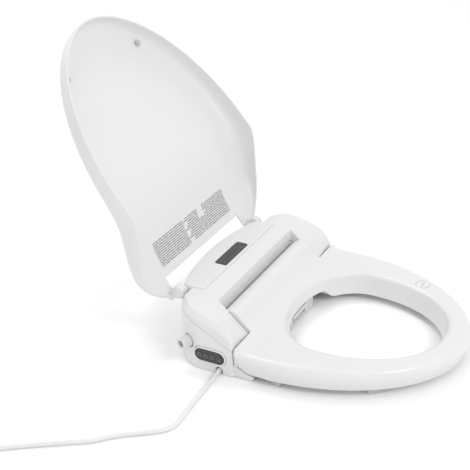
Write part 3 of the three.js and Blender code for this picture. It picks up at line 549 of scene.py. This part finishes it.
def base_section(place):
    line = seat_section(place, WALL + BASE_INSET)
    spots = [lerp(line[0], line[-1], t) for t in spread(0, 1, 8)]
    above = [(p[0], p[1], seat_underside(p[0], p[1]) + BASE_THICK) for p in spots]
    below = [(p[0], p[1], seat_underside(p[0], p[1]) + BASE_LIFT) for p in spots]
    return above + below[::-1]


def make_seat(materials):
    points, faces = round_the_seat(shell_section)
    shell = piece("seat_top_moulding", points, faces, materials["white_gloss"], "seat", 50)
    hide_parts("seat_shell")
    points, faces = round_the_seat(base_section)
    base = piece("seat_base_moulding", points, faces, materials["white_satin"], "seat")
    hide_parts("seat_base")
    make_seat_mark(materials)


def make_seat_mark(materials):
    """A printed ring with a bar on the top of the seat."""
    place = (134.0, -299.0, SEAT_CROWN + 0.02)
    inner, outer, thick = 11.6, 12.6, 0.06
    ring = [(inner, 0), (outer, 0), (outer, thick), (inner, thick)]
    mark = turned("seat_mark_ring", ring, place, (0, 0, 1), 64, materials["print_grey"], "seat")
    half_length, half_width = 7.5, 0.6
    bar = block("seat_mark_bar", (-half_length, -half_width, 0), (half_length, half_width, thick))
    turn = Matrix.Rotation(math.radians(-5), 4, "Z")
    bar.data.transform(Matrix.Translation(Vector(place) * MM) @ turn)
    bar.data.materials.append(materials["print_grey"])
    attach(bar, "seat")


# ---- Lid ---------------------------------------------------------------------------------

CROWN_LOW = 73.5
CROWN_SLOPE = 0.029
CROWN_STEP = 48
CROWN_STEP_Y = -88
CROWN_STEP_LENGTH = 25
CROWN_DOME = 1.5
RIM_START = -118
RIM_LENGTH = 150
RIM_REAR = BRIDGE_HEIGHT + 3.5
RIM_POWER = 1.25
EAR_LENGTH = 16
EAR_PROFILE = [(0, 0), (10.5, 0), (11.5, 1), (11.5, 12), (10.3, 14.5), (8, EAR_LENGTH), (0, EAR_LENGTH)]

# The lid's side from the crown down to the rim, as (inset, share of the drop)
LID_SIDE = [(24, 0.03), (12, 0.11), (3.5, 0.28), (0, 0.55)]


def lid_crown(y):
    """Low at the front, with a step up to the deep rear."""
    step = CROWN_STEP / (1 + math.exp(-(y - CROWN_STEP_Y) / CROWN_STEP_LENGTH))
    return CROWN_LOW + CROWN_SLOPE * (y - LID_Y) + step


def lid_rim(y):
    """The S-curved lower edge: low round the front, and above the unit at the rear."""
    t = clamp((y - RIM_START) / RIM_LENGTH, 0, 1)
    return lerp(LID_RIM, RIM_REAR, math.sin(math.pi / 2 * t ** RIM_POWER))


def lid_outline():
    power = 2 / SEAT_POWER
    half = []
    for t in spread(0, math.pi / 2, 60):
        y = SEAT_STRAIGHT - (SEAT_DEPTH + LID_OVERHANG) * abs(math.cos(t)) ** power
        half.append((LID_HALF * math.sin(t) ** power, y))
    for y in spread(SEAT_STRAIGHT, REAR_CENTRE, 22)[1:-1]:
        half.append((LID_HALF, y))
    for t in spread(0, math.pi / 2, 30):
        y = REAR_CENTRE + (REAR_DEPTH + LID_OVERHANG) * math.sin(t)
        half.append((LID_HALF * math.cos(t), y))
    return half + [(-x, y) for x, y in half[1:-1][::-1]]


def lid_section(spot, under):
    """From the middle of the lid out to the rim, on the skin `under` its outer face."""
    x, y = spot
    away = math.hypot(x, y - LID_MIDDLE)
    levels = [(s, 0, 0) for s in spread(0.015, 0.8, 22)]
    levels += [(1, inset, drop) for inset, drop in LID_SIDE]
    line = []
    for share, inset, drop in levels:
        scale = (1 - (inset + under) / away) * share
        px = x * scale
        py = LID_MIDDLE + (y - LID_MIDDLE) * scale
        crown = lid_crown(py) - CROWN_DOME * share * share
        line.append(np.array((px, py, lerp(crown, lid_rim(py), drop) - under)))
    scale = 1 - under / away
    line.append(np.array((x * scale, LID_MIDDLE + (y - LID_MIDDLE) * scale, lid_rim(y))))
    return through(line, 3)


def open_lid(obj):
    """Turns a piece drawn with the lid closed to the lid's open rest."""
    axis = Vector((0, LID_Y, LID_Z)) * MM
    swing = Matrix.Rotation(-LID_OPEN, 4, "X")
    obj.data.transform(Matrix.Translation(axis) @ swing @ Matrix.Translation(-axis))
    return obj


def add_hinge_ear(lid, side):
    """A round ear beside the notch, with a web up to the inside of the lid."""
    start = (side * (NOTCH_HALF + 1), LID_Y, LID_Z)
    ear = turned("ear", EAR_PROFILE, start, (side, 0, 0), 48)
    low, high = sorted((start[0], start[0] + side * EAR_LENGTH))
    foot = (low + 0.01, LID_Y - 9, LID_Z)
    head = (high - 0.01, LID_Y + 5, lid_crown(LID_Y) - 2)
    boolean(lid, [ear, block("web", foot, head)], "UNION")


def make_lid(materials):
    outline = lid_outline()
    outer = [lid_section(spot, 0) for spot in outline]
    inner = [lid_section(spot, LID_WALL)[::-1] for spot in outline]
    lines = [a + b for a, b in zip(outer, inner)]
    rings = [[tuple(line[k]) for line in lines] for k in range(len(lines[0]))]
    lid = piece("lid_moulding", *loft(rings), materials["white_gloss"], None, 40)
    notch = block("notch", (-NOTCH_HALF, NOTCH_FRONT, 40), (NOTCH_HALF, 100, 200))
    boolean(lid, [notch], "DIFFERENCE")
    for side in (-1, 1):
        add_hinge_ear(lid, side)
    shade(lid, 40)
    open_lid(lid)
    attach(lid, "lid")
    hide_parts("lid_shell")
    make_lid_print(materials)


NOTICE_ROWS = 12
NOTICE_Y = -61
NOTICE_HALF = 118.0
ROW_PITCH = 3.6
ROW_HEIGHT = 1.1
WORD_GAP = 1.8
PRINT_LIFT = 0.35
PRINT_THICK = 0.08


def add_dash(points, faces, x0, x1, y0, y1):
    """One printed dash that follows the inner face of the lid."""
    steps = 4
    first = len(points)
    for x in spread(x0, x1, steps):
        for y in (y0, y1):
            share = math.hypot(x / LID_HALF, (y - LID_MIDDLE) / 150)
            z = lid_crown(y) - LID_WALL - CROWN_DOME * min(share, 1) ** 2 - PRINT_LIFT
            points.append((x, y, z))
            points.append((x, y, z - PRINT_THICK))
    for k in range(steps):
        a = first + 4 * k
        b = a + 4
        faces.append((a, b, b + 2, a + 2))
        faces.append((a + 1, a + 3, b + 3, b + 1))
        faces.append((a, a + 1, b + 1, b))
        faces.append((a + 2, b + 2, b + 3, a + 3))
    faces.append((first, first + 2, first + 3, first + 1))
    last = first + 4 * steps
    faces.append((last, last + 1, last + 3, last + 2))


def left_blank(row, middle):
    """The margin between the two columns, and a corner that stays empty."""
    return -24 < middle < -14 or (row < 5 and 30 < middle < 46)


def make_lid_print(materials):
    """Rows of plain dashes on the inner face near the hinge: a generic notice with no lettering."""
    points, faces = [], []
    for row in range(NOTICE_ROWS):
        y = NOTICE_Y + ROW_PITCH * row
        x = -NOTICE_HALF
        word = 0
        while x < NOTICE_HALF - 2:
            width = 5.0 + 3.6 * ((row * 7 + word * 5) % 4)
            if not left_blank(row, x + width / 2):
                add_dash(points, faces, x, min(x + width, NOTICE_HALF), y, y + ROW_HEIGHT)
            x += width + WORD_GAP
            word += 1
    mark = piece("lid_notice", points, faces, materials["print_dark"], None)
    open_lid(mark)
    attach(mark, "lid")


# ---- Rear unit ---------------------------------------------------------------------------

BRIDGE_RISE = 8
POD_ROUND = 32
POD_SLOPE = 0.27
POD_SLOPE_Y = -12
RIDGE_HEIGHT = BRIDGE_HEIGHT - 18
RIDGE_SLOPE = 0.54
RIDGE_BEND = -22
EAR_SWEEP = 22
EAR_GAP = 0.6
FAR = 400
CASE_VOXEL = 1.3
PANEL_VOXEL = 0.7


def bridge_rise(y):
    return BRIDGE_RISE * smooth(y, BRIDGE_FRONT - 12, PANEL_FRONT + 6)


def pod_outer_edge(y):
    """The pod's outer edge falls a little towards the front and rounds over at it."""
    from_front = clamp(y - (POD_FRONT - 2.5), 0, POD_ROUND)
    drop = POD_ROUND - math.sqrt(POD_ROUND * POD_ROUND - (POD_ROUND - from_front) ** 2)
    return BRIDGE_HEIGHT + 1 - POD_SLOPE * max(0, POD_SLOPE_Y - y) - drop


def ridge(y):
    """Height of the parting line between the upper cover and the lower case."""
    return min(RIDGE_HEIGHT + RIDGE_SLOPE * (y - RIDGE_BEND), RIDGE_HEIGHT)


def from_outline(x, y):
    if y < REAR_CENTRE:
        return UNIT_HALF - abs(x)
    u = x / UNIT_HALF
    v = (y - REAR_CENTRE) / REAR_DEPTH
    steep = math.hypot(u / UNIT_HALF, v / REAR_DEPTH)
    return (1 - u * u - v * v) / (2 * max(steep, 1e-3))


def unit_top(x, y):
    t = clamp((abs(x) - POD_INNER) / (POD_WIDTH - EDGE_FACET), 0, 1)
    along = clamp((y - POD_FRONT) / (BRIDGE_FRONT - POD_FRONT), 0, 1)
    inner = lerp(BRIDGE_HEIGHT - 56, BRIDGE_HEIGHT - BRIDGE_RISE, along) + bridge_rise(y)
    crown = lerp(inner, pod_outer_edge(y), t)
    low = min(max(ridge(y) + 1, crown - 10), crown)
    return lerp(low, crown, clamp(from_outline(x, y) / EDGE_FACET, 0, 1))


def unit_rear(x):
    return REAR_CENTRE + REAR_DEPTH * math.sqrt(max(0.0, 1 - (x / UNIT_HALF) ** 2))


def unit_columns():
    """Places across the unit as (x, y of the front there), closer together at the edges."""
    half = [(x, BRIDGE_FRONT) for x in spread(0, POD_INNER, 40)]
    half += [(x, POD_FRONT) for x in spread(POD_INNER, UNIT_HALF - 9, 16)]
    half += [(UNIT_HALF - d, POD_FRONT) for d in (8, 6.5, 5, 3.5, 2, 1, 0.3, 0)]
    return [(-x, front) for x, front in half[1:][::-1]] + half


def unit_solid():
    """The whole unit as one block: columns of constant x from the front to the rear outline."""
    columns = unit_columns()
    shares = spread(0, 1, 44)
    points, faces = [], []
    rows = len(shares)
    for x, front in columns:
        for share in shares:
            eased = share if share < 0.5 else 1 - 2 * (1 - share) ** 2
            y = lerp(front, unit_rear(x), eased)
            points.append((x, y, unit_top(x, y)))
    under = len(points)
    points += [(x, y, 0.0) for x, y, _ in points]
    for i in range(len(columns) - 1):
        for j in range(rows - 1):
            a = i * rows + j
            b = a + rows
            faces.append((a, b, b + 1, a + 1))
            faces.append((under + a, under + a + 1, under + b + 1, under + b))
        a = i * rows
        b = a + rows
        faces.append((a, under + a, under + b, b))
        a, b = a + rows - 1, b + rows - 1
        faces.append((a, b, under + b, under + a))
    for j in range(rows - 1):
        faces.append((j, j + 1, under + j + 1, under + j))
        a = (len(columns) - 1) * rows + j
        faces.append((a, under + a, under + a + 1, a + 1))
    return points, faces


def parting(above):
    offset = GAP if above else 0
    end = FAR if above else -100
    line = [(y, ridge(y) + offset) for y in (-300, RIDGE_BEND, 300)]
    return drawn_along_x("parting", [*line, (300, end), (-300, end)], -FAR, FAR)


def swept_by_ears():
    """The space that the lid's hinge ears turn in."""
    profile = [(0, 0), (EAR_SWEEP, 0), (EAR_SWEEP, UNIT_HALF), (0, UNIT_HALF)]
    sweeps = []
    for side in (-1, 1):
        start = (side * (NOTCH_HALF + EAR_GAP), LID_Y, LID_Z)
        sweeps.append(turned("sweep", profile, start, (side, 0, 0), 64))
    return sweeps


def make_upper_cover(materials):
    cover = piece("upper_cover_moulding", *unit_solid(), materials["white_gloss"], None)
    boolean(cover, [parting(True)], "INTERSECT")
    margin = 0.6
    low = (-PANEL_HALF - margin, PANEL_FRONT - margin, BRIDGE_HEIGHT - PANEL_THICK)
    recess = block("recess", low, (PANEL_HALF + margin, PANEL_REAR, 200))
    boolean(cover, [*swept_by_ears(), recess], "DIFFERENCE")
    soften(cover, CASE_VOXEL, 4)
    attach(cover, "rear_unit")
    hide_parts("upper_cover")


INLET_ROOT = (-188.0, -17.0, 43.5)
INLET_DIRECTION = (-0.932, 0.361, 0.0)
INLET_HOLE = 11.2

# The toe under the front of each pod, as (y, z)
TOE = [(-98, 0), (-132, 0), (-134, 2), (-134, 7), (-132, 9), (-125, 10), (-98, 23)]


def lower_case_cuts():
    """The inlet's hole, the control panel's oval, the lead's way out and the mount plate's pocket."""
    start = tuple(r - 12 * d for r, d in zip(INLET_ROOT, INLET_DIRECTION))
    bore = [(0, 0), (INLET_HOLE, 0), (INLET_HOLE, 40), (0, 40)]
    hole = turned("hole", bore, start, INLET_DIRECTION, 48)
    outside = -UNIT_HALF - 5
    oval = drawn_along_x("oval", stadium(OVAL_RIM + GAP), outside, -UNIT_HALF + 9)
    wide = 6.2
    bore = [(0, 0), (wide, 0), (wide, 38), (0, 38)]
    slot = turned("slot", bore, (outside, CORD_EXIT_Y, 6), (1, 0, 0), 32)
    low = (outside, CORD_EXIT_Y - wide, -1)
    under = block("under", low, (-UNIT_HALF + 33, CORD_EXIT_Y + wide, 6))
    pocket = block("pocket", (-104.6, -36.6, -1), (104.6, 33.6, 2.9))
    return [hole, oval, slot, under, pocket, *swept_by_ears()]


def make_lower_case(materials):
    case = piece("lower_case_moulding", *unit_solid(), materials["white_gloss"], None)
    boolean(case, [parting(False)], "INTERSECT")
    for side in (-1, 1):
        low, high = sorted((side * (POD_INNER + 13.5), side * (UNIT_HALF - 3)))
        boolean(case, [drawn_along_x("toe", TOE, low, high)], "UNION")
    boolean(case, lower_case_cuts(), "DIFFERENCE")
    soften(case, CASE_VOXEL, 4)
    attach(case, "rear_unit")
    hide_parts("lower_case")


def make_centre_panel(materials):
    panel = piece("centre_panel_moulding", *unit_solid(), materials["white_gloss"], None)
    above = BRIDGE_HEIGHT + 5
    low = (-PANEL_HALF, PANEL_FRONT, BRIDGE_HEIGHT - PANEL_THICK + GAP)
    boolean(panel, [block("slab", low, (PANEL_HALF, PANEL_REAR, above))], "INTERSECT")
    pocket = block("pocket", (-42.4, -9.4, BRIDGE_HEIGHT - 1.5), (42.4, 13.9, above))
    boolean(panel, [pocket], "DIFFERENCE")
    soften(panel, PANEL_VOXEL, 3)
    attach(panel, "rear_unit")
    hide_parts("centre_panel")


BUTTON_PITCH = 12

# Turned profiles as (radius, distance out of the side of the unit)
CAP = [(0, 0), (5.2, 0), (5.2, 1.2), (4, 1.2), (4, 4.7), (3.7, 5.1), (3.0, 5.3), (2.2, 5.1), (0, 4.8)]
CAP_MARK = [(2.9, 0), (3.5, 0), (3.5, 0.1), (2.9, 0.1)]


def make_control_rim(materials):
    """The oval rim round the buttons, as (depth, outer inset, inner inset) from inside out."""
    levels = [(3, 0, 0), (-0.6, 0, 0), (-1.3, 0.5, 0.5), (-1.5, 1.3, 1.1)]
    rings = []
    for depth, inset, _ in levels:
        rings.append([(-UNIT_HALF + depth, y, z) for y, z in stadium(OVAL_RIM - inset)])
    for depth, _, inset in levels[::-1]:
        rings.append([(-UNIT_HALF + depth, y, z) for y, z in stadium(0.2 + inset)])
    points, faces = loft(rings, around=True)
    bezel = piece("control_rim", points, faces, materials["white_gloss"], "rear_unit")
    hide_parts("control_bezel")


def make_button(i, materials):
    """A round cap with a printed ring, on its own body."""
    y = OVAL_Y - (1.5 - i) * BUTTON_PITCH
    body = f"button_{i + 1}"
    outward = (-1, 0, 0)
    seated = (-UNIT_HALF + 3.2, y, OVAL_Z)
    knob = turned(f"button_cap_{i + 1}", CAP, seated, outward, 40, materials["grey_button"], body, 30)
    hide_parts(f"button_{i + 1}")
    face = (-UNIT_HALF - 1.95, y, OVAL_Z)
    ring = turned(f"button_mark_{i + 1}", CAP_MARK, face, outward, 40, materials["print_grey"], body)


def make_controls(materials):
    make_control_rim(materials)
    for i in range(4):
        make_button(i, materials)


def make_inlet(materials):
    """Threaded stub with a bore."""
    bore, root, crest, pitch = 6, 9.6, 10.42, 1.75
    profile = [(bore, -13), (13.4, -13), (13.4, -10.5), (9.7, -10.5), (9.7, 0.5)]
    for k in range(8):
        s = 1.0 + pitch * k
        profile += [(root, s), (crest, s + 0.6), (crest, s + 0.95), (root, s + 1.5)]
    profile += [(9.4, 15.3), (8.9, 16), (bore, 16)]
    material = materials["white_satin"]
    stub = turned("inlet_stub", profile, INLET_ROOT, INLET_DIRECTION, 56, material, "rear_unit", 25)
    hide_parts("inlet_connector")


def rounded_plate(name, centre, half, radius, heights, material):
    """A flat plate with round corners about a place on the plan."""
    outline = []
    for sx, sy, start in ((1, -1, -90), (1, 1, 0), (-1, 1, 90), (-1, -1, 180)):
        for k in range(9):
            a = math.radians(start + 90 * k / 8)
            x = centre[0] + sx * (half[0] - radius) + radius * math.cos(a)
            y = centre[1] + sy * (half[1] - radius) + radius * math.sin(a)
            outline.append((x, y))
    rings = [[(x, y, z) for x, y in outline] for z in heights]
    return piece(name, *loft(rings), material, "rear_unit")


def make_window(materials):
    """A dark window with rounded corners and plain outlined keys printed on it."""
    middle = 2.25
    top = BRIDGE_HEIGHT + 0.15
    heights = (BRIDGE_HEIGHT - 1.4, top)
    window = rounded_plate("window", (0.0, middle), (41.6, 10.9), 5, heights, materials["charcoal"])
    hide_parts("display_window")
    printed = (top + 0.02, top + 0.06)
    for i, x in enumerate((-32, -22, -10, 2, 12, 22, 33)):
        half = (3.6, 3.2 if i % 2 else 4.2)
        name = f"window_key_{i + 1}"
        key = rounded_plate(name, (x, middle), half, 1.4, printed, materials["key_print"])


def make_housing_ribs(materials):
    """Raised ribs down the front of the nozzle housing, on both sides of the gate."""
    half, rear, front, low, high = 0.8, -125.9, -126.9, 14, 26.5
    for side in (-1, 1):
        for i, x in enumerate((38, 44, 50)):
            name = f"housing_rib_{'left' if side < 0 else 'right'}_{i + 1}"
            rib = block(name, (side * x - half, front, low), (side * x + half, rear, high))
            rib.data.materials.append(materials["white_gloss"])
            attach(rib, "rear_unit")


# ---- Mains lead --------------------------------------------------------------------------

COIL = Vector((-507.4, 194.7, 0))
ALONG = Vector((0.785, 0.62, 0))
ACROSS = Vector((-0.62, 0.785, 0))
LYING = CORD_RADIUS + 0.05
COIL_WIDE = 42.0
COIL_TIGHT = 35.0
TURNS = 3.25
TURN_POINTS = 24

# The lead's way over the floor from the unit to the coil, as (x, y)
FLOOR_ROUTE = [(-222, -75), (-262, -77), (-302, -79), (-336, -82), (-362, -72), (-396, -26),
               (-413, -6), (-431, 12), (-459, 56), (-502, 120), (-525, 149)]

# The end of the lead across the coil to the plug, as (distance along, height)
TO_THE_PLUG = [(14, 10.0), (28, 7.5), (42, 6.0), (56, 8.5), (68, 12.0), (75.6, 13.0)]


def coil_point(swept):
    """A place in the coil after so many turns; the middle turns are tighter, and the last lie on top."""
    tight = smooth(swept, 0.72, 0.9) - smooth(swept, 2.45, 2.65)
    raised = smooth(swept, 1.72, 1.95)
    radius = lerp(COIL_WIDE, COIL_TIGHT, tight)
    angle = math.pi - 2 * math.pi * swept
    spot = COIL + ALONG * (radius * math.cos(angle)) + ACROSS * (radius * math.sin(angle))
    return np.array((spot.x, spot.y, LYING + 7.05 * raised))


def cord_points():
    seen = [(-194.8, CORD_EXIT_Y, 6), (-206, CORD_EXIT_Y, 5)]
    seen += [(x, y, LYING) for x, y in FLOOR_ROUTE]
    line = through([np.array(p, float) for p in seen], 4)
    for k in range(2, int(TURNS * TURN_POINTS) + 1):
        line.append(coil_point(k / TURN_POINTS))
    for along, height in TO_THE_PLUG:
        spot = COIL + ACROSS * COIL_WIDE + ALONG * along
        line.append(np.array((spot.x, spot.y, height)))
    return line


def cord_curve(line, material):
    data = bpy.data.curves.new("mains_lead", "CURVE")
    data.dimensions = "3D"
    data.bevel_depth = CORD_RADIUS * MM
    data.bevel_resolution = 5
    data.use_fill_caps = True
    spline = data.splines.new("POLY")
    spline.points.add(len(line) - 1)
    for point, place in zip(spline.points, line):
        point.co = (*[c * MM for c in place], 1)
    spline.use_smooth = True
    data.materials.append(material)
    lead = bpy.data.objects.new("mains_lead", data)
    bpy.context.scene.collection.objects.link(lead)
    return lead


def make_lead(materials):
    line = cord_points()
    lead = cord_curve(line, materials["cord_white"])
    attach(lead, "rear_unit")
    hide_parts("cord_tube", "cord_coil", "cord_tail")


# ---- Studio, in metres and watts ---------------------------------------------------------

FLOOR_HALF = 6.0
FLOOR_Z = -0.0005
AIM = (0, -0.1, 0.1)
WORLD_STRENGTH = 0.9


def area_light(name, place, size, power):
    data = bpy.data.lights.new(name, "AREA")
    data.shape = "DISK"
    data.size = size
    data.energy = power
    light = bpy.data.objects.new(name, data)
    light.location = place
    light.rotation_euler = (Vector(AIM) - Vector(place)).to_track_quat("-Z", "Y").to_euler()
    bpy.context.scene.collection.objects.link(light)


def make_floor():
    mesh = bpy.data.meshes.new("floor")
    corners = [(x * FLOOR_HALF, y * FLOOR_HALF, FLOOR_Z) for x, y in ((-1, -1), (1, -1), (1, 1), (-1, 1))]
    mesh.from_pydata(corners, [], [(0, 1, 2, 3)])
    floor = bpy.data.objects.new("floor", mesh)
    bpy.context.scene.collection.objects.link(floor)
    mesh.materials.append(plastic("floor", (0.955, 0.955, 0.955), 0.9))


def make_studio():
    make_floor()
    world = bpy.data.worlds.new("studio")
    world.use_nodes = True
    background = world.node_tree.nodes["Background"]
    background.inputs["Color"].default_value = (1, 1, 1, 1)
    background.inputs["Strength"].default_value = WORLD_STRENGTH
    bpy.context.scene.world = world
    bpy.context.scene.view_settings.view_transform = "Standard"
    area_light("key", (-0.7, -1.9, 1.9), 0.8, 16)
    area_light("behind", (0.6, 2.0, 1.3), 1.0, 5)
    area_light("top", (0.6, 0.9, 2.2), 0.8, 9)


make_camera()
materials = make_materials()
dress_frame_nodes(materials)
make_lead(materials)
make_studio()
make_seat(materials)
make_lid(materials)
make_upper_cover(materials)
make_lower_case(materials)
make_centre_panel(materials)
make_controls(materials)
make_inlet(materials)
make_window(materials)
make_housing_ribs(materials)
